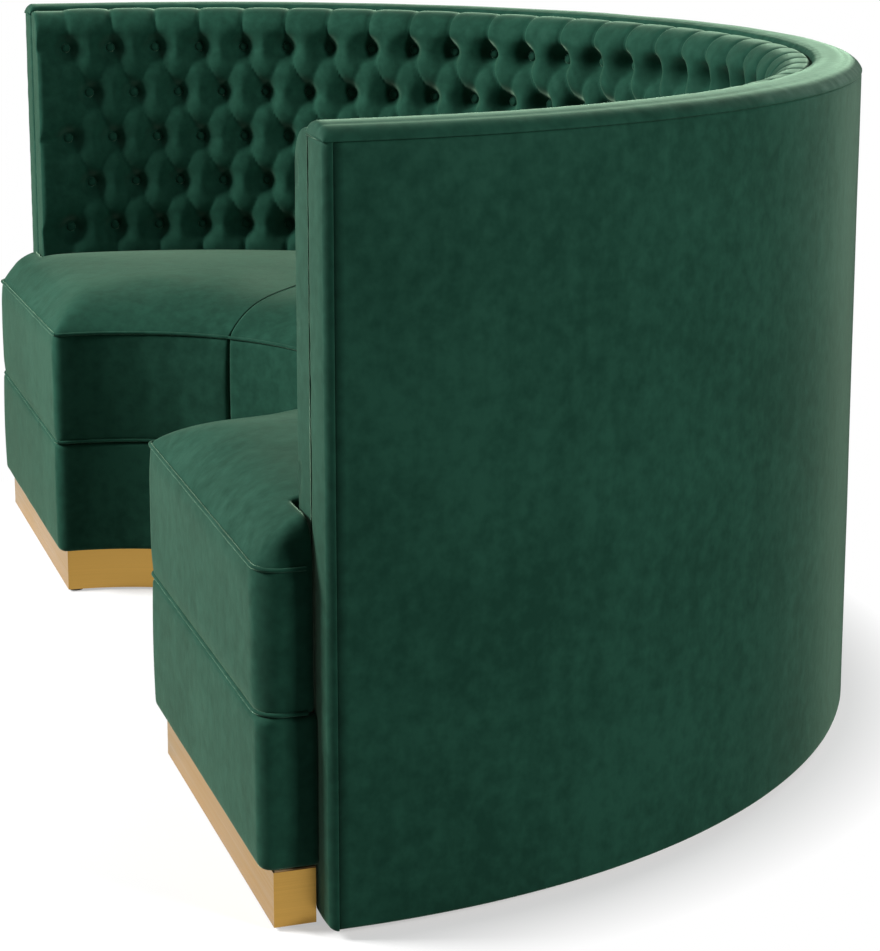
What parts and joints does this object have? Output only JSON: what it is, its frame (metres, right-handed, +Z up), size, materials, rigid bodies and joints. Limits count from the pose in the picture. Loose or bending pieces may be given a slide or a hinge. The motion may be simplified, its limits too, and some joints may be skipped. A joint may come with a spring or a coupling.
{
  "type": "half-round booth sofa",
  "caption": "Half-round booth sofa: deep-buttoned velvet back, horseshoe seat with loose cushions on an upholstered base, brass plinth.",
  "frame": {"origin": "floor level, at the middle of the sofa's width and depth", "axes": "+Z up, the seat opens towards -Y, +X to the right of someone who looks at its open side"},
  "size_m": [2.16, 1.196, 1],
  "materials": {
    "velvet": "emerald cotton velvet, short pile with a soft sheen",
    "foam": "upholstery foam and polyester wadding",
    "plywood": "raw birch plywood",
    "timber": "planed softwood",
    "lining": "black woven lining",
    "brass": "brushed golden brass sheet",
    "nylon": "black nylon",
    "steel": "zinc plated steel"
  },
  "bodies": {
    "frame": {"outer_back_cover": "velvet", "top_border": "velvet", "end_border_left": "velvet", "end_border_right": "velvet", "tufted_pad_end_left": "velvet", "tufted_pad_side_left": "velvet", "tufted_pad_centre": "velvet", "tufted_pad_side_right": "velvet", "tufted_pad_end_right": "velvet", "back_buttons": "velvet", "base_cover": "velvet", "outer_wadding": "foam", "base_foam": "foam", "wall_inner_skin": "plywood", "wall_outer_skin": "plywood", "base_bottom_panel": "plywood", "seat_deck": "plywood", "base_front_rail": "plywood", "base_back_rail": "plywood", "base_end_panel_left": "plywood", "base_end_panel_right": "plywood", "base_ribs": "plywood", "plinth_front_board": "plywood", "plinth_back_board": "plywood", "plinth_end_board_left": "plywood", "plinth_end_board_right": "plywood", "wall_bottom_rail": "timber", "wall_top_rail": "timber", "wall_studs": "timber", "wall_end_post_left": "timber", "wall_end_post_right": "timber", "base_side_block_left": "timber", "base_side_block_right": "timber", "plinth_side_block_left": "timber", "plinth_side_block_right": "timber", "deck_cloth": "lining", "dust_cover": "lining", "plinth_brass_front": "brass", "plinth_brass_end_left": "brass", "plinth_brass_end_right": "brass", "plinth_brass_side_left": "brass", "plinth_brass_side_right": "brass", "floor_glides": "nylon", "wall_coach_screws": "steel"},
    "cushion_left": {"cushion_cover_left": "velvet", "cushion_foam_left": "foam", "cushion_cloth_left": "lining"},
    "cushion_centre": {"cushion_cover_centre": "velvet", "cushion_foam_centre": "foam", "cushion_cloth_centre": "lining"},
    "cushion_right": {"cushion_cover_right": "velvet", "cushion_foam_right": "foam", "cushion_cloth_right": "lining"}
  },
  "joints": [
    {"name": "cushion_left_lift", "type": "slide", "parent": "frame", "child": "cushion_left", "axis": [0, 0, 1], "range_m": [0, 0.75]},
    {"name": "cushion_centre_lift", "type": "slide", "parent": "frame", "child": "cushion_centre", "axis": [0, 0, 1], "range_m": [0, 0.75]},
    {"name": "cushion_right_lift", "type": "slide", "parent": "frame", "child": "cushion_right", "axis": [0, 0, 1], "range_m": [0, 0.75]}
  ]
}
